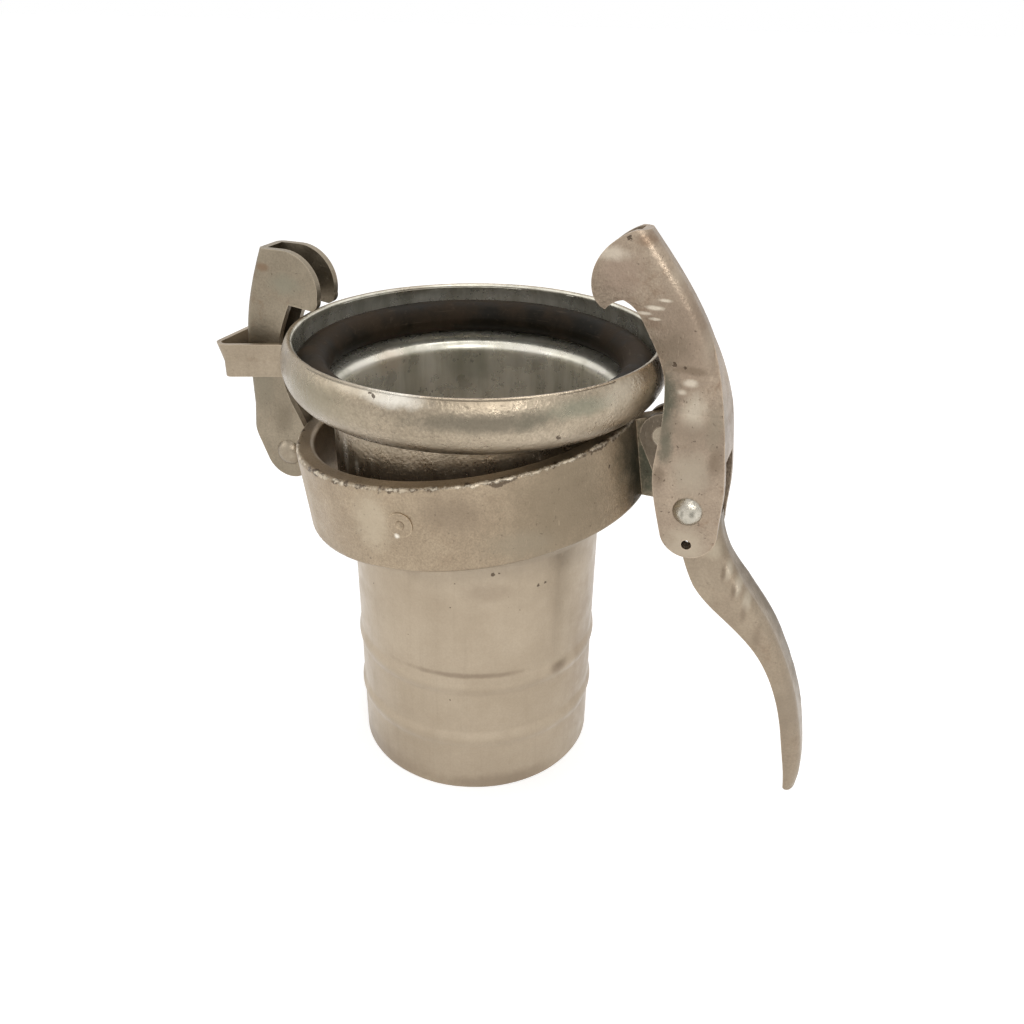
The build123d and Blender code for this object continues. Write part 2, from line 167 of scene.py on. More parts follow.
def ragged(tree, span, where, size, detail, rough, amount):
    """A distance made uneven by noise of so many features a metre, up to half of amount each way."""
    uneven = plus(tree, noise(tree, where, size, detail, rough), -0.5)
    return plus(tree, span, times(tree, uneven, amount))


def near(tree, where, point, radius):
    """1 at a point given in millimetres, 0 from radius on, with a ragged edge."""
    span = measured(tree, "DISTANCE", where, tuple(c * MM for c in point))
    uneven = ragged(tree, span, where, 900, 4, 0.5, radius * 3.0 * MM)
    return mask(tree, uneven, radius * 0.6 * MM, radius * MM, 1.0, 0.0)


def most(tree, values):
    """Largest of several masks."""
    result = values[0]
    for value in values[1:]:
        result = put(tree, "ShaderNodeMath", {0: result, 1: value}, operation="MAXIMUM").outputs[0]
    return result


def patched(tree, where, tone, patches, raggedness=1.1):
    """Lay soft patches on a tone; each is a point and half sizes in millimetres, a colour, a strength.

    The distance from the point, in half sizes, fades the patch out, and noise makes it ragged.
    """
    uneven = times(tree, plus(tree, noise(tree, where, 210, 7, 0.75), -0.5), raggedness)
    for point, half_sizes, colour, strength in patches:
        scale = tuple(1 / (size * MM) for size in half_sizes)
        shift = tuple(-c / size for c, size in zip(point, half_sizes))
        centred = put(tree, "ShaderNodeMapping", {"Vector": where, "Location": shift, "Scale": scale})
        span = plus(tree, measured(tree, "LENGTH", centred.outputs[0]), uneven)
        share = mask(tree, span, 0.25, 1.2, strength, 0.0)
        tone = blend(tree, share, tone, colour)
    return tone


def tone_by_height(tree, where, tone, stops):
    """Multiply a tone by a grey that follows height: stops are (height in mm, grey), upwards."""
    low, high = stops[0][0], stops[-1][0]
    height = put(tree, "ShaderNodeSeparateXYZ", {0: where}).outputs["Z"]
    wavy = ragged(tree, height, where, 40, 3, 0.55, 0.03)
    limits = {"Value": wavy, "From Min": low * MM, "From Max": high * MM}
    ramp = put(tree, "ShaderNodeValToRGB", {0: put(tree, "ShaderNodeMapRange", limits).outputs[0]})
    ramp.color_ramp.interpolation = "EASE"
    first, last = ramp.color_ramp.elements
    first.color = (stops[0][1],) * 3 + (1,)
    last.color = (stops[-1][1],) * 3 + (1,)
    for place, grey in stops[1:-1]:
        stop = ramp.color_ramp.elements.new((place - low) / (high - low))
        stop.color = (grey, grey, grey, 1)
    return blend(tree, 1.0, tone, ramp.outputs["Color"], "MULTIPLY")


def worn_edges(tree, width):
    """1 where the surface bends sharply within width millimetres, from the bevelled normal."""
    bevelled = put(tree, "ShaderNodeBevel", {"Radius": width * MM}, samples=4).outputs[0]
    true = put(tree, "ShaderNodeNewGeometry").outputs["Normal"]
    return mask(tree, measured(tree, "DOT_PRODUCT", bevelled, true), 0.80, 0.98, 1.0, 0.0)


# %% [markdown]
# The layers come together in one finish. Its tone starts as two shades of zinc in soft clouds, and
# its height as a fine grain over slow waves. Pits, rubbed edges and nicks then change both, so that
# a dark pit is a hollow too and catches the light as one.

# %% Weathered zinc
DIRT = (0.085, 0.060, 0.042, 1)
RUST = (0.20, 0.125, 0.075, 1)


def weathered(tree, where, light, dark, clouds, grain, grain_size, streaks):
    """Two tones in soft clouds, with a sandy grain and darker drag marks that run up and down."""
    cloud = mask(tree, noise(tree, where, 28, 5, 0.6), 0.30, 0.70, 0.5 - clouds / 2, 0.5 + clouds / 2)
    tone = grained(tree, where, blend(tree, cloud, dark, light), grain_size, grain)
    drag = noise(tree, stretched(tree, where, (330, 330, 9)), 1, 6, 0.7)
    return blend(tree, mask(tree, drag, 0.50, 0.78, 0.0, streaks), tone, shaded(dark, 0.6))


def fine_scratches(tree, where):
    """1 along thin slanting lines: noise squeezed in one direction far more than in the others."""
    slanting = stretched(tree, where, (1700, 150, 260), (0.5, 0.8, 0.3))
    return mask(tree, noise(tree, slanting, 1, 2), 0.68, 0.73)


def hammered(tree, where, tone, height, light, pits, edges, marks):
    """Pits all over, edges rubbed bright, and single nicks: each in the tone, hollows in the height."""
    if pits:
        pit = times(tree, mask(tree, noise(tree, where, 620, 3, 0.6), 0.66, 0.72), pits)
        tone = blend(tree, pit, tone, DIRT)
        height = plus(tree, height, times(tree, pit, -1.2))
    if edges:
        uneven = mask(tree, noise(tree, where, 260, 4), 0.35, 0.55, 0.35, edges)
        tone = blend(tree, times(tree, worn_edges(tree, 0.9), uneven), tone, shaded(light, 1.35))
    if marks:
        spots = most(tree, [near(tree, where, point, radius) for point, radius in marks])
        tone = blend(tree, times(tree, spots, 0.85), tone, DIRT)
        height = plus(tree, height, times(tree, spots, -1.5))
    return tone, height


def zinc_finish(
    name, light, dark, rough, metal=0.92, clouds=0.5, grain=0.06, grain_size=1100, streaks=0.2,
    stains=0.0, scratches=0.3, pits=0.0, edges=0.0, bump=0.3, marks=(), patches=(), heights=(),
    layer=None,
):
    """Zinc finish from two tones and a base roughness, with a number for each layer of wear.

    clouds, grain, streaks, stains, scratches, pits and edges are strengths, marks and patches lie at
    single places, heights darkens by height, and layer is a function that adds one layer more.
    """
    made = bpy.data.materials.new(name)
    made.use_nodes = True
    tree = made.node_tree
    shader = tree.nodes["Principled BSDF"]
    where = put(tree, "ShaderNodeTexCoord").outputs["Object"]
    tone = weathered(tree, where, light, dark, clouds, grain, grain_size, streaks)
    if stains:
        stain = mask(tree, noise(tree, where, 90, 7, 0.7), 0.54, 0.70, 0.0, stains)
        tone = blend(tree, stain, tone, RUST)
    if heights:
        tone = tone_by_height(tree, where, tone, heights)
    if patches:
        tone = patched(tree, where, tone, patches)
    scratch = fine_scratches(tree, where)
    tone = blend(tree, times(tree, scratch, scratches), tone, light)
    sand = times(tree, noise(tree, where, grain_size * 0.8, 4, 0.6), 0.6)
    waves = times(tree, noise(tree, where, 150, 4), 0.8)
    height = plus(tree, plus(tree, sand, waves), times(tree, scratch, -0.25 * scratches))
    tone, height = hammered(tree, where, tone, height, light, pits, edges, marks)
    if layer:
        tone, height = layer(tree, where, tone, height)
    tree.links.new(tone, shader.inputs["Base Color"])
    shine = mask(tree, noise(tree, where, 120, 5, 0.6), 0.3, 0.7, rough + 0.07, rough - 0.07)
    tree.links.new(shine, shader.inputs["Roughness"])
    shader.inputs["Metallic"].default_value = metal
    relief = put(tree, "ShaderNodeBump", {"Height": height, "Strength": bump, "Distance": 0.0004})
    tree.links.new(relief.outputs[0], shader.inputs["Normal"])
    print("finish", name, "has", len(tree.nodes), "nodes")
    return made


# %% [markdown]
# Use leaves its own marks. Each one here is a place in millimetres and a size, and a patch has a
# colour and a strength too: nicks on the tail and one on the guide. Most of the tail's patches are
# painted light: a thin painted shade in the crease over the upper bead, a painted dark reflection on
# the side towards the lever, and painted shade down its left edge, along its foot and, by height, at
# its top under the ring.

# %% Tail and guide
ZINC_LIGHT = (0.455, 0.375, 0.280, 1)
ZINC_DARK = (0.375, 0.302, 0.218, 1)
GREEN_GREY = (0.110, 0.108, 0.078, 1)
BROWN = (0.200, 0.150, 0.105, 1)
PALE = (0.60, 0.53, 0.42, 1)
SILVER = (0.95, 0.90, 0.80, 1)
tail_marks = [((25.9, -45.1, 109.4), 0.9), ((28.0, -43.9, 109.8), 0.5), ((40.2, -33.0, 100.8), 0.9),
              ((42.4, -30.2, 101.3), 0.6), ((-26.7, -44.6, 92.6), 0.4), ((34.9, -38.6, 91.5), 0.4),
              ((9.6, -51.1, 48.0), 0.4), ((12.3, -50.6, 105.2), 0.35), ((10.2, -51.0, 94.0), 0.4),
              ((31.2, -41.6, 93.5), 0.35), ((31.2, -41.6, 98.5), 0.3), ((-8.4, -51.4, 76.5), 0.4)]
tail_dirt_and_painted_shade = [
    # Painted shade: a thin dark line in the crease over the upper bead.
    ((18.0, -49.0, 61.0), (34, 18, 1.6), BROWN, 0.55), ((47.2, -23.8, 56.0), (4, 6, 3), BROWN, 0.55),
    # Painted dark reflection on the side of the tail towards the lever.
    ((53.0, 4.0, 60.0), (17, 24, 75), (0.27, 0.20, 0.135, 1), 0.5),
    ((24.0, -46.0, 101.0), (13, 10, 5), BROWN, 0.28),
    # Painted shade along the foot of the tube.
    ((-30.0, -42.0, 4.0), (40, 30, 6), (0.24, 0.18, 0.125, 1), 0.5),
    ((30.0, -42.0, 3.0), (30, 30, 5), BROWN, 0.45),
    # Painted shade down the left edge.
    ((-46.0, -22.0, 70.0), (9, 12, 70), (0.30, 0.245, 0.18, 1), 0.5),
]
# The heights darken the tail's foot a little and its top under the ring more: painted shade.
tail_zinc = zinc_finish(
    "tail_zinc", ZINC_LIGHT, ZINC_DARK, 0.36, clouds=0.7, grain=0.05, streaks=0.16, marks=tail_marks,
    bump=0.2, heights=[(0, 0.92), (40, 1.0), (100, 0.98), (118, 0.74)], patches=tail_dirt_and_painted_shade,
)
guide_zinc = zinc_finish(
    "guide_zinc", (0.40, 0.33, 0.245, 1), (0.31, 0.25, 0.18, 1), 0.42, grain=0.10, stains=0.25,
    edges=0.6, marks=[((-104.0, -20.5, 174.5), 1.0)], pits=0.3,
)

# %% [markdown]
# The cast ring is the roughest piece. Its top outer edge has been struck again and again, so it is
# chipped to bright metal, with dark nicks under it. The ring leans, so the edge is found in the
# ring's own frame, from its middle and its leaning axis.

# %% Ring
ring_middle = Vector((-3.04, -1.53, 155.7)) * MM
ring_lean = math.radians(8.45)
ring_turn = math.radians(13.0)
ring_axis = Vector((
    -math.sin(ring_lean) * math.cos(ring_turn),
    -math.sin(ring_lean) * math.sin(ring_turn),
    math.cos(ring_lean),
))
ring_edge_radius = 70.2
ring_edge_height = -0.4
chip_inner, chip_outer, chip_raggedness = 0.1, 0.9, 6.5
nick_inner, nick_outer, nick_raggedness = 0.3, 1.0, 11.0
CHIP = (0.74, 0.65, 0.51, 1)


def off_ring_edge(tree, where):
    """Distance from the ring's top outer edge: the length of (radius - edge, height - edge)."""
    from_middle = combined(tree, "SUBTRACT", where, ring_middle)
    along = measured(tree, "DOT_PRODUCT", from_middle, ring_axis)
    lengthwise = put(tree, "ShaderNodeVectorMath", {0: ring_axis, "Scale": along}, operation="SCALE")
    radius = measured(tree, "LENGTH", combined(tree, "SUBTRACT", from_middle, lengthwise.outputs[0]))
    past_edge = {
        0: plus(tree, radius, -ring_edge_radius * MM),
        1: plus(tree, along, -ring_edge_height * MM),
    }
    return measured(tree, "LENGTH", put(tree, "ShaderNodeCombineXYZ", past_edge).outputs[0])


def struck_edge(tree, where, tone, height):
    """Chips to bright metal along the ring's edge, most where it was struck, and a few dark nicks."""
    span = off_ring_edge(tree, where)
    to_chip = ragged(tree, span, where, 330, 6, 0.75, chip_raggedness * MM)
    to_nick = ragged(tree, span, where, 190, 5, 0.55, -nick_raggedness * MM)
    chip = mask(tree, to_chip, chip_inner * MM, chip_outer * MM, 1.0, 0.0)
    nick = mask(tree, to_nick, nick_inner * MM, nick_outer * MM, 0.8, 0.0)
    struck = mask(tree, noise(tree, where, 38, 4, 0.7), 0.42, 0.60, 0.40, 1.0)
    tone = blend(tree, nick, tone, DIRT)
    tone = blend(tree, times(tree, chip, struck), tone, CHIP)
    return tone, plus(tree, height, times(tree, chip, 0.8))


ring_marks = [((64.0, -26.5, 154.5), 0.7), ((8.0, -71.0, 156.0), 0.8), ((-16.0, -71.0, 152.4), 1.3),
              ((-20.0, -70.0, 152.6), 0.8), ((33.0, -62.9, 159.3), 0.7), ((-28.0, -67.0, 152.0), 0.6),
              ((-12.4, -70.6, 121.9), 0.6), ((-17.0, -70.2, 134.9), 0.5)]
ring_stains_and_painted_light = [
    # Painted shade on the ring's right side.
    ((52.0, -45.0, 145.0), (26, 28, 34), (0.235, 0.185, 0.125, 1), 0.85),
    ((20.0, -68.0, 146.0), (17, 10, 9), (0.24, 0.185, 0.130, 1), 0.6),
    ((-11.0, -71.0, 138.0), (10, 8, 14), (0.50, 0.42, 0.31, 1), 0.7),
    ((41.5, -58.5, 133.4), (18, 14, 7), (0.30, 0.25, 0.18, 1), 0.6),
    # Painted shade on the lug and beside it.
    ((74.0, -5.0, 150.0), (9, 12, 26), (0.075, 0.075, 0.052, 1), 0.97),
    ((64.0, -12.0, 148.0), (8, 13, 24), (0.11, 0.105, 0.072, 1), 0.8),
    ((-60.0, -40.0, 138.0), (12, 16, 22), (0.32, 0.26, 0.19, 1), 0.5),
    # Painted highlight on the boss.
    ((-0.3, -72.8, 135.0), (1.5, 3, 1.4), SILVER, 0.95),
]
ring_zinc = zinc_finish(
    "ring_zinc", (0.42, 0.335, 0.235, 1), (0.31, 0.24, 0.165, 1), 0.44, clouds=0.75, grain=0.2,
    grain_size=1300, streaks=0.2, stains=0.15, edges=0.8, bump=0.65, pits=0.35,
    marks=ring_marks, patches=ring_stains_and_painted_light, layer=struck_edge,
)

# %% [markdown]
# The three pressings have been handled and knocked the most. The catch hook is mottled pinkish brown
# over the zinc, with bright scratches under its nose and smooth pale ears, painted highlights along
# its fold and painted shade next to the lug. The side hook has gone greenish with some rust at its
# tip, and has painted shade where it runs through the guide. The lever is darker on its back face and
# towards its top by the pivot, both painted shade, with a painted highlight and crease on its ridge.

# %% Hooks and lever
BRIGHT = (0.85, 0.76, 0.62, 1)
side_rust_and_painted_shade = [
    ((-98.3, -8.3, 203.5), (5, 5, 2.6), RUST, 0.8), ((-90.6, -8.3, 206.8), (4, 5, 2.2), RUST, 0.7),
    ((-80.4, -8.3, 200.6), (9, 9, 5), (0.25, 0.235, 0.175, 1), 0.6),
    # Painted shade where the hook runs through the guide bracket.
    ((-97.0, -8.3, 165.0), (8, 9, 24), (0.21, 0.185, 0.135, 1), 0.6),
    ((-88.0, -8.3, 141.0), (6, 8, 9), (0.16, 0.13, 0.09, 1), 0.55),
]
side_zinc = zinc_finish(
    "side_hook_zinc", (0.34, 0.285, 0.21, 1), (0.235, 0.195, 0.14, 1), 0.42, clouds=0.9, grain=0.13,
    stains=0.45, scratches=0.4, edges=0.9, bump=0.5, pits=0.5, patches=side_rust_and_painted_shade,
)
catch_wear_and_painted_light = [
    # Painted highlights along the fold.
    ((78.9, -6.5, 225.4), (4, 8, 11), PALE, 0.4), ((91.7, -6.5, 203.3), (4, 8, 14), PALE, 0.35),
    ((82.0, -6.5, 198.0), (16, 9, 26), (0.245, 0.185, 0.135, 1), 0.6),
    ((71.0, -6.5, 208.6), (4, 4, 0.9), BRIGHT, 0.7), ((67.0, -6.5, 206.3), (3, 4, 0.7), BRIGHT, 0.65),
    ((74.5, -6.5, 211.6), (3.0, 4, 0.7), BRIGHT, 0.65),
    ((71.5, -6.5, 204.6), (2.5, 4, 0.6), BRIGHT, 0.6),
    ((58.0, -6.5, 219.0), (10, 9, 9), (0.36, 0.27, 0.205, 1), 0.7),
    ((53.0, -6.5, 226.0), (9, 8, 3), BRIGHT, 0.45), ((66.0, -6.5, 231.5), (5, 8, 2.5), RUST, 0.55),
    ((78.5, -6.5, 194.2), (8, 8, 9), (0.20, 0.155, 0.11, 1), 0.7),
    ((86.3, -6.5, 183.0), (3.2, 8, 1.6), BRIGHT, 0.55),
    ((83.8, -6.5, 179.5), (2.2, 8, 1.2), BRIGHT, 0.5),
    # Painted shade next to the lug.
    ((78.0, -6.5, 172.0), (6.5, 9, 18), GREEN_GREY, 0.95),
    ((86.0, -6.5, 187.5), (9, 9, 2.0), BROWN, 0.8),
    ((89.3, -6.5, 172.5), (5.5, 8, 8), PALE, 0.7),
    ((97.5, -8.0, 168.0), (4, 9, 12), (0.26, 0.22, 0.16, 1), 0.6),
    ((90.8, -10.0, 149.0), (9, 6, 11), (0.37, 0.31, 0.235, 1), 0.85),
    ((91.5, -10.0, 118.0), (10, 6, 10), (0.44, 0.37, 0.28, 1), 0.85),
    ((88.0, -8.0, 165.0), (12, 8, 7), (0.26, 0.205, 0.15, 1), 0.6),
    # Painted shade next to the lug.
    ((80.5, -10.0, 158.0), (3.0, 6, 8), GREEN_GREY, 0.7),
    ((99.0, -10.0, 155.0), (3.2, 6, 7), BROWN, 0.75),
    ((79.0, -10.0, 146.0), (3.0, 6, 5), BROWN, 0.7),
]
catch_marks = [((78.8, -9.0, 145.0), 1.0), ((77.9, -9.0, 148.5), 0.7), ((99.5, -9.0, 152.3), 1.0),
               ((100.4, -9.0, 149.0), 0.6), ((98.8, -9.0, 156.0), 0.7), ((80.0, -6.5, 189.0), 0.8),
               ((83.8, -6.5, 188.2), 0.6), ((60.0, -6.5, 232.0), 0.9)]
catch_zinc = zinc_finish(
    "catch_hook_zinc", (0.42, 0.335, 0.25, 1), (0.255, 0.195, 0.145, 1), 0.38, clouds=0.95, grain=0.16,
    stains=0.5, scratches=0.5, edges=0.85, bump=0.65, pits=0.55, patches=catch_wear_and_painted_light, marks=catch_marks,
)
lever_wear_and_painted_light = [
    ((102.0, -9.3, 117.5), (5, 8, 6), (0.45, 0.385, 0.29, 1), 0.7),
    # Painted highlight along the ridge, with a painted dark crease beside it.
    ((109.5, -8.0, 111.0), (2.0, 6, 6), PALE, 0.5), ((114.0, -8.0, 105.0), (2.0, 6, 6), PALE, 0.5),
    ((118.0, -8.0, 98.5), (2.0, 6, 6), PALE, 0.45),
    ((107.5, -8.0, 108.5), (1.2, 6, 4), BROWN, 0.7), ((112.5, -8.0, 101.5), (1.2, 6, 4), BROWN, 0.7),
    ((117.5, -8.0, 93.0), (1.6, 6, 5), BROWN, 0.6), ((124.0, -8.0, 84.0), (2.5, 6, 7), BROWN, 0.5),
    ((140.9, -9.0, 52.0), (9, 9, 20), (0.27, 0.22, 0.165, 1), 0.5),
    # Painted shade on the back face.
    ((118.0, 8.0, 90.0), (60, 14, 90), (0.15, 0.115, 0.075, 1), 0.95),
]
# The heights darken the lever towards its top by the pivot: painted shade.
lever_zinc = zinc_finish(
    "lever_zinc", (0.37, 0.30, 0.22, 1), (0.27, 0.212, 0.152, 1), 0.38, clouds=0.85, grain=0.11,
    stains=0.3, scratches=0.55, edges=0.75, bump=0.45, pits=0.25, patches=lever_wear_and_painted_light,
    heights=[(5, 1.0), (115, 1.0), (135, 0.55), (170, 0.4)],
)

# %% [markdown]
# A rivet head is the one place where bright metal still shows: the catch rivet turns with the lever
# and stays polished, while the side rivet has gone as pale and flat as its hook.

# %% Rivets
rivet_patches = [
    ((93.6, -14.5, 133.5), (1.8, 3, 2.6), (0.07, 0.065, 0.05, 1), 0.85),
    ((89.6, -14.5, 133.0), (1.1, 3, 2.4), (0.12, 0.11, 0.085, 1), 0.7),
]
rivet_zinc = zinc_finish(
    "rivet_zinc", (0.60, 0.56, 0.48, 1), (0.34, 0.31, 0.25, 1), 0.2, clouds=0.95, grain=0.12,
    stains=0.15, bump=0.8, patches=rivet_patches,
)
dull_rivet_zinc = zinc_finish(
    "dull_rivet_zinc", (0.42, 0.36, 0.275, 1), (0.27, 0.22, 0.16, 1), 0.36, clouds=0.95, grain=0.14,
    stains=0.25, edges=0.7, bump=0.6, pits=0.3,
)


# %% [markdown]
# The cup is one sheet with two faces: outside it has weathered zinc with a sandy sparkle, a darker
# greenish band round its belly that is a painted dark reflection, and painted highlights near the
# lip towards the side hook. Inside, the water has kept the pressing smooth; its lighter tone and its
# streaks from top to bottom are partly painted reflection, with painted highlights and a dark painted
# reflection in the bowl. A value stored in the mesh says which face a point is on, and both the tone
# and the share of metal are mixed by it.

# %% Cup finish
# Painted highlights and a dark painted reflection on the bowl's walls, and one pale worn patch under the
# lip.
DARK_REFLECTION_GREEN = (0.30, 0.30, 0.23, 1)
inside_wear_and_painted_reflections = [
    ((-54.0, 4.0, 164.0), (7, 12, 7), SILVER, 0.95),
    ((-50.0, 22.0, 163.0), (9, 10, 8), (0.85, 0.74, 0.60, 1), 0.8),
    ((3.0, 54.0, 164.0), (13, 9, 4.5), SILVER, 0.95), ((38.0, 39.0, 166.0), (9, 9, 7), SILVER, 0.8),
    ((-24.0, 49.0, 156.0), (16, 12, 12), DARK_REFLECTION_GREEN, 0.6),
    ((-51.0, 46.0, 188.0), (12, 12, 3.5), PALE, 0.8),
]
# The inside tones are lighter partly as cleaner zinc, partly as painted reflection of the bright
# surround.
CLEAN_SHEEN_LIGHT = (0.92, 0.88, 0.76, 1)
CLEAN_SHEEN_DARK = (0.62, 0.59, 0.48, 1)
outside_metal, inside_metal = 0.92, 0.72
grain_left_inside = 0.03


def inner_face(tree, where, tone, height):
    """On the inner face the tone is lighter and streaked, partly as painted reflection, the grain almost
    gone, the metal less.
    """
    inside = put(tree, "ShaderNodeAttribute", attribute_name="inside").outputs["Fac"]
    # Streaks from top to bottom, partly painted reflection.
    film = mask(tree, noise(tree, stretched(tree, where, (110, 110, 12)), 1, 6, 0.65), 0.35, 0.68)
    clean_and_sheen = blend(tree, film, CLEAN_SHEEN_LIGHT, CLEAN_SHEEN_DARK)
    clean_and_sheen = patched(tree, where, clean_and_sheen, inside_wear_and_painted_reflections, 0.5)
    calm = times(tree, height, mask(tree, inside, 0, 1, 1.0, grain_left_inside))
    metal = mask(tree, inside, 0, 1, outside_metal, inside_metal)
    tree.links.new(metal, tree.nodes["Principled BSDF"].inputs["Metallic"])
    return blend(tree, inside, tone, clean_and_sheen), calm


bulge_marks = [((52.0, -52.6, 174.1), 1.1), ((-5.7, -73.5, 187.6), 1.0), ((-7.2, -73.2, 188.3), 0.6),
               ((4.8, -72.9, 189.2), 0.5)]
bulge_drips_and_painted_light = [
    # Painted dark reflection: a greenish band round the belly.
    ((30.0, -66.0, 181.5), (34, 24, 4.4), (0.155, 0.135, 0.10, 1), 0.8),
    ((58.0, -47.0, 184.0), (16, 16, 4), (0.25, 0.255, 0.19, 1), 0.6),
    ((44.0, -60.0, 182.5), (7, 8, 5), GREEN_GREY, 0.4),
    # Painted highlights near the lip at the front.
    ((1.0, -73.8, 188.0), (13, 9, 3.6), SILVER, 0.75),
    ((-14.0, -72.0, 188.5), (16, 9, 2.6), PALE, 0.55),
    # Painted shade over the left side, the upper front and the lower front.
    ((-34.0, -64.0, 181.0), (34, 20, 9), (0.27, 0.235, 0.165, 1), 0.8),
    ((30.0, -66.0, 188.5), (24, 12, 2.6), (0.24, 0.195, 0.14, 1), 0.75),
    ((30.0, -66.0, 172.0), (50, 34, 2.2), (0.34, 0.285, 0.21, 1), 0.5),
    ((68.0, -29.0, 185.0), (9, 20, 5), PALE, 0.4),
    ((-34.9, -45.4, 149.0), (2.2, 4, 8), SILVER, 0.9), ((-27.5, -50.3, 147.5), (1.6, 3, 4), SILVER, 0.9),
    # A pale drip, then painted shade on the neck under the bulge.
    ((-18.7, -54.2, 152.0), (1.8, 4, 5), PALE, 0.7), ((10.0, -56.5, 150.0), (34, 12, 12), BROWN, 0.5),
]
cup_zinc = zinc_finish(
    "cup_zinc", (0.45, 0.375, 0.28, 1), (0.30, 0.245, 0.175, 1), 0.30, clouds=0.9, grain=0.22,
    grain_size=950, streaks=0.35, stains=0.1, scratches=0.35, bump=0.85, pits=0.25,
    marks=bulge_marks, patches=bulge_drips_and_painted_light, layer=inner_face,
)


# %% [markdown]
# The seal is black rubber that has dried to a dull brown film where it was handled, with pale
# scuffs and a little dust. It is no metal, and has a broad, very weak gloss.

# %% Rubber
def rubber_finish():
    """Dull rubber with a patchy film and fine scuffs."""
    made = bpy.data.materials.new("seal_rubber")
    made.use_nodes = True
    tree = made.node_tree
    shader = tree.nodes["Principled BSDF"]
    where = put(tree, "ShaderNodeTexCoord").outputs["Object"]
    film = mask(tree, noise(tree, where, 45, 6, 0.6), 0.40, 0.66)
    dust = mask(tree, noise(tree, where, 420, 5, 0.7), 0.55, 0.75)
    scuff = mask(tree, noise(tree, stretched(tree, where, (60, 60, 900)), 1, 4), 0.62, 0.72)
    tone = blend(tree, film, (0.010, 0.008, 0.005, 1), (0.034, 0.023, 0.014, 1))
    dusty = blend(tree, times(tree, dust, 0.3), tone, (0.09, 0.066, 0.044, 1))
    scuffed = blend(tree, times(tree, scuff, 0.2), dusty, (0.15, 0.115, 0.08, 1))
    tree.links.new(scuffed, shader.inputs["Base Color"])
    tree.links.new(mask(tree, film, 0, 1, 0.50, 0.70), shader.inputs["Roughness"])
    shader.inputs["Specular IOR Level"].default_value = 0.1
    height = plus(tree, times(tree, dust, 0.3), times(tree, film, 0.4))
    relief = put(tree, "ShaderNodeBump", {"Height": height, "Strength": 0.3, "Distance": 0.0003})
    tree.links.new(relief.outputs[0], shader.inputs["Normal"])
    return made


rubber = rubber_finish()


# %% [markdown]
# Cup, tail and seal are turned shapes: an outline of points (radius, height) carried once round the
# pipe axis. Turning it here, and not only in the frame, lets the radius waver by a fraction of a
# millimetre, as pressed and rolled sheet does, and gives the cup its inside value.

# %% Turning an outline
def arc(centre, radius, start, end, count):
    """Points centre + radius (cos a, sin a), a in equal steps from start to end degrees."""
    angles = np.radians(np.linspace(start, end, count))
    return np.column_stack([centre[0] + radius * np.cos(angles), centre[1] + radius * np.sin(angles)])


def line(first, last, count):
    """Points in equal steps from first to last, without the last."""
    share = np.linspace(0, 1, count, endpoint=False)[:, None]
    return np.array(first) * (1 - share) + np.array(last) * share


def turned_surface(name, outline, columns, offset):
    """Turn a closed outline round Z: point (r, h) and angle a give (r cos a, r sin a, h).

    offset(a, r, h) in millimetres moves each point along the outline's outward normal, which is the
    outline's tangent turned by a right angle.
    """
    ahead = np.roll(outline, -1, axis=0) - np.roll(outline, 1, axis=0)
    length = np.maximum(np.linalg.norm(ahead, axis=1), 1e-9)
    normal = np.column_stack([ahead[:, 1], -ahead[:, 0]]) / length[:, None]
    rows = len(outline)
    angle = np.linspace(0, 2 * np.pi, columns, endpoint=False)
    around = np.broadcast_to(angle, (rows, columns))
    radius = np.broadcast_to(outline[:, :1], (rows, columns))
    height = np.broadcast_to(outline[:, 1:], (rows, columns))
    shift = offset(around, radius, height)
    radius = radius + shift * normal[:, :1]
    height = height + shift * normal[:, 1:]
    points = np.stack([radius * np.cos(around), radius * np.sin(around), height], axis=-1) * MM
    row, column = np.meshgrid(np.arange(rows), np.arange(columns), indexing="ij")
    next_row = (row + 1) % rows
    next_column = (column + 1) % columns
    corners = [row * columns + column, row * columns + next_column,
               next_row * columns + next_column, next_row * columns + column]
    faces = np.stack(corners, axis=-1).reshape(-1, 4)
    return solid_from(name, points.reshape(-1, 3), faces)


def solid_from(name, points, faces):
    """Mesh object from arrays, smooth, with its faces turned outwards by the sign of its volume."""
    first, second, third, fourth = (points[faces[:, i]] for i in range(4))
    volume = np.einsum("ij,ij->i", first, np.cross(second, third)).sum()
    volume += np.einsum("ij,ij->i", first, np.cross(third, fourth)).sum()
    if volume < 0:
        faces = faces[:, ::-1]
    mesh = bpy.data.meshes.new(name)
    mesh.from_pydata(points, [], faces)
    mesh.polygons.foreach_set("use_smooth", np.ones(len(faces), bool))
    made = bpy.data.objects.new(name, mesh)
    bpy.context.scene.collection.objects.link(made)
    print(name, "has", len(faces), "faces and", round(abs(volume) / 6 * 1e6, 1), "cubic centimetres")
    return made


def waver(angle, height, size):
    """Sum of a few slow sines in angle and height, at most about size millimetres."""
    slow = np.sin(2 * angle + 0.6) + 0.6 * np.sin(3 * angle - 1.1 + height / 40)
    quick = 0.3 * np.sin(7 * angle + height / 23) + 0.2 * np.sin(13 * angle + 2 + height / 11)
    return size * (slow + quick) / 2.1


# %% [markdown]
# The cup is one sheet: up the neck, out round a tight bend, over the half-round bulge to the lip, and
# the same way back on the inside. Its outline is closed from arcs and lines, so that the sheet keeps
# its thickness round every bend. The value named inside is 1 past the middle of the lip.

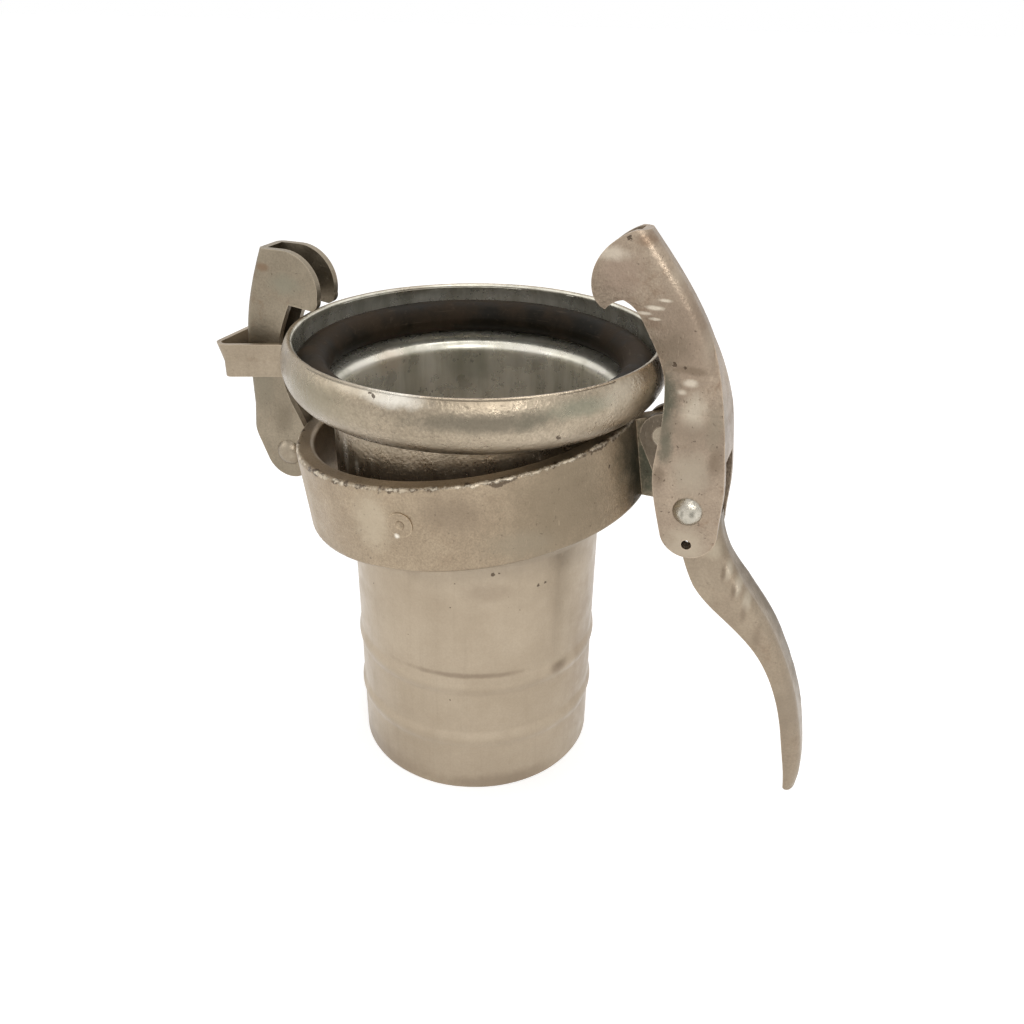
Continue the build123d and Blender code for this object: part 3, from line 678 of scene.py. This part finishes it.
# %% Cup surface
cup_columns = 360
cup_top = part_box("cup")[1].z / MM
cup_wall = 2.3
neck_radius = 57.3
neck_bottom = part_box("cup")[0].z / MM
socket_depth = 12.5
socket_top = neck_bottom + socket_depth
socket_radius = 55.8
bulge_radius = 15.0
bulge_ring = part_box("cup")[1].x / MM - bulge_radius
lip_angle = 38.0
lip_start = lip_angle - 3.5
lip_lift = 0.05
bulge_height = cup_top - bulge_radius * math.sin(math.radians(lip_angle)) + lip_lift
bend_outer = 2.7
bend_height = bulge_height - bulge_radius - bend_outer
bend_centre = (neck_radius + bend_outer, bend_height)
bulge_centre = (bulge_ring, bulge_height)
inner_bulge = bulge_radius - cup_wall
inner_neck = neck_radius - cup_wall
lip_middle = (bulge_radius + inner_bulge) / 2
lip_centre = arc(bulge_centre, lip_middle, lip_start, lip_angle, 2)[0]

outer_points = np.vstack([
    line((neck_radius, neck_bottom), (neck_radius, bend_height), 30),
    arc(bend_centre, bend_outer, 180, 92, 8),
    arc(bulge_centre, bulge_radius, -90, lip_start, 60),
])
lip_points = arc(lip_centre, cup_wall / 2, lip_start, lip_start + 180, 10)
inner_points = np.vstack([
    arc(bulge_centre, inner_bulge, lip_start, -90, 50),
    arc(bend_centre, bend_outer + cup_wall, 90, 180, 12),
    line((inner_neck, bend_height - 1), (inner_neck, socket_top), 20),
    line((socket_radius, socket_top), (socket_radius, neck_bottom), 8),
    line((socket_radius, neck_bottom), (neck_radius, neck_bottom), 3),
])
cup_outline = np.vstack([outer_points, lip_points, inner_points])
first_inside = len(outer_points) + len(lip_points) // 2


def cup_offset(angle, radius, height):
    """Wavering sheet, more so at the free lip than at the stiff neck."""
    freedom = np.clip((height - neck_bottom) / (cup_top - neck_bottom), 0, 1)
    return waver(angle, height, 0.22) * freedom


cup_skin = turned_surface("cup_sheet", cup_outline, cup_columns, cup_offset)
inside_rows = (np.arange(len(cup_outline)) >= first_inside).astype(np.float32)
inside = cup_skin.data.attributes.new("inside", "FLOAT", "POINT")
inside.data.foreach_set("value", np.repeat(inside_rows, cup_columns))
cup_skin.data.materials.append(cup_zinc)
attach(cup_skin, "body")
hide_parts("cup")

# %% [markdown]
# The tail is a tube with two rolled beads. Each bead follows a power of a cosine in height, so it
# meets the plain tube without a crease. Above them the tube widens into the swage that goes up into
# the neck, and the weld bead covers the joint. Its scales are ripples of one sine round the pipe.

# %% Tail surface
tail_columns = 280
tail_radius = 52.0
tail_wall = 2.2
swage_radius = 55.5
bead_heights = (27.0, 55.0)
bead_rise = 0.9
bead_half = 4.5
cone_height = 8
cone_top = neck_bottom - 3.4
tail_top = neck_bottom + 12
end_chamfer_height = 0.4
end_chamfer = 0.35
weld_centre = (swage_radius - 0.2, neck_bottom - 0.2)
weld_section = 2.5
weld_ripple = 0.4


def tail_side(offset, count):
    """One face of the tail's sheet from its cut end up: plain, beaded, coned and swaged."""
    below = np.linspace(end_chamfer_height, cone_top - cone_height, count)
    height = np.concatenate([below, np.linspace(cone_top, tail_top, 12)])
    radius = np.where(height < cone_top - 0.1, tail_radius, swage_radius)
    for bead in bead_heights:
        reach = np.clip((height - bead) / bead_half, -1, 1)
        radius = radius + bead_rise * np.cos(reach * np.pi / 2) ** 1.4
    return np.column_stack([radius - offset, height])


outer_side = tail_side(0, 150)
tail_outline = np.vstack([
    [[tail_radius - end_chamfer, 0.0]],
    outer_side[outer_side[:, 1] <= cone_top],
    arc(weld_centre, weld_section, -75, 60, 14),
    outer_side[outer_side[:, 1] > neck_bottom],
    tail_side(tail_wall, 150)[::-1],
    [[tail_radius - tail_wall + end_chamfer, 0.0]],
])


def tail_offset(angle, radius, height):
    """Wavering tube, with the ripples of the weld where the outline stands proud of the swage."""
    on_weld = (radius > swage_radius + 0.4) & (height > cone_top - 1)
    ripple = weld_ripple * np.abs(np.sin(38 * angle + 0.8 * np.sin(5 * angle)))
    return np.where(on_weld, ripple - 0.3, waver(angle, height, 0.25) * (height < cone_top))


tail_skin = turned_surface("hose_tail_tube", tail_outline, tail_columns, tail_offset)
tail_skin.data.materials.append(tail_zinc)
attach(tail_skin, "body")
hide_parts("hose_tail")

# %% [markdown]
# The seal is a plain ring of round section that lies in the bulge. Its place and section are read
# from the frame. A little flattening and a mould line keep it from looking machined.

# %% Seal surface
seal_columns = 320
seal_low, seal_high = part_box("seal_ring")
seal_section = (seal_high.z - seal_low.z) / 2 / MM
seal_centre = (seal_high.x / MM - seal_section, (seal_high.z + seal_low.z) / 2 / MM)
seal_outline = arc(seal_centre, seal_section, 0, 352.5, 48)


def seal_offset(angle, radius, height):
    """Soft ring that is slightly flattened here and there, with a fine mould line inside."""
    mould_line = 0.22 * np.exp(-((height - seal_centre[1]) / 0.5) ** 2) * (radius < seal_centre[0])
    return -0.12 + 0.12 * np.sin(5 * angle) * np.sin(angle * 2 + height / 6) + mould_line


seal_skin = turned_surface("seal_torus", seal_outline, seal_columns, seal_offset)
seal_skin.data.materials.append(rubber)
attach(seal_skin, "body")
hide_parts("seal_ring")


# %% [markdown]
# The other eight pieces keep the frame's own mesh and only get their finish. The three that were
# turned again get theirs too, so that a hidden node still carries the right one.

# %% Finishes on the frame's own pieces
finish_of = {
    "guide_bracket": guide_zinc,
    "closing_ring": ring_zinc,
    "side_hook": side_zinc,
    "side_hook_rivet": dull_rivet_zinc,
    "lever": lever_zinc,
    "lever_pivot_pin": dull_rivet_zinc,
    "catch_hook": catch_zinc,
    "catch_rivet": rivet_zinc,
    "cup": cup_zinc,
    "hose_tail": tail_zinc,
    "seal_ring": rubber,
}
for name, finish in finish_of.items():
    nodes[name].data.materials.clear()
    nodes[name].data.materials.append(finish)
print("frame pieces with a finish:", len(finish_of))


# %% [markdown]
# The studio is a pale floor and a white surround. The floor glows a little for the camera alone,
# so the background comes out white while the object keeps its soft shadow.

# %% Floor and surround
floor_half = 20.0
floor_glow = 0.55
floor_mesh = bpy.data.meshes.new("floor")
corners = [(-floor_half, -floor_half, 0), (floor_half, -floor_half, 0),
           (floor_half, floor_half, 0), (-floor_half, floor_half, 0)]
floor_mesh.from_pydata(corners, [], [(0, 1, 2, 3)])
floor = bpy.data.objects.new("floor", floor_mesh)
bpy.context.scene.collection.objects.link(floor)

floor_finish = bpy.data.materials.new("floor_paint")
floor_finish.use_nodes = True
floor_tree = floor_finish.node_tree
floor_shader = floor_tree.nodes["Principled BSDF"]
floor_shader.inputs["Base Color"].default_value = (0.8, 0.8, 0.8, 1)
floor_shader.inputs["Roughness"].default_value = 0.9
floor_shader.inputs["Emission Color"].default_value = (1, 1, 1, 1)
rays = put(floor_tree, "ShaderNodeLightPath")
seen = plus(floor_tree, rays.outputs["Is Camera Ray"], rays.outputs["Is Glossy Ray"])
seen = plus(floor_tree, seen, rays.outputs["Is Transmission Ray"])
floor_tree.links.new(times(floor_tree, seen, floor_glow), floor_shader.inputs["Emission Strength"])
floor_mesh.materials.append(floor_finish)

world = bpy.data.worlds.new("surround")
world.use_nodes = True
bpy.context.scene.world = world
world_tree = world.node_tree
background = world_tree.nodes["Background"]
rays = put(world_tree, "ShaderNodeLightPath")
direction = put(world_tree, "ShaderNodeTexCoord").outputs["Generated"]
height = put(world_tree, "ShaderNodeSeparateXYZ", {0: direction}).outputs["Z"]
sky = mask(world_tree, height, -0.1, 0.9, 0.75, 0.45)
seen = plus(world_tree, rays.outputs["Is Camera Ray"], rays.outputs["Is Glossy Ray"])
seen = plus(world_tree, seen, rays.outputs["Is Transmission Ray"])
strength = put(world_tree, "ShaderNodeMix", {0: seen, 2: sky, 3: 1.0}, data_type="FLOAT")
world_tree.links.new(strength.outputs[0], background.inputs["Strength"])
background.inputs["Color"].default_value = (1, 1, 1, 1)


# %% [markdown]
# The surround already lights the object from all sides. Three weak lamps give it a direction: a key
# from the front right, a fill from the left, and one from above that reaches down into the cup.

# %% Lamps
def lamp(name, place, target, size, power, tint=(1, 1, 1)):
    """Square soft lamp at place that looks at target."""
    data = bpy.data.lights.new(name, "AREA")
    data.size = size
    data.energy = power
    data.color = tint
    made = bpy.data.objects.new(name, data)
    made.location = place
    made.rotation_euler = (Vector(target) - Vector(place)).to_track_quat("-Z", "Y").to_euler()
    bpy.context.scene.collection.objects.link(made)
    return made


middle = (0.02, 0, 0.12)
lamp("key", (0.55, -0.9, 0.9), middle, 0.5, 4)
lamp("fill", (-0.9, -0.5, 0.6), middle, 0.6, 1)
lamp("top", (0.0, 0.25, 1.1), middle, 0.5, 3)
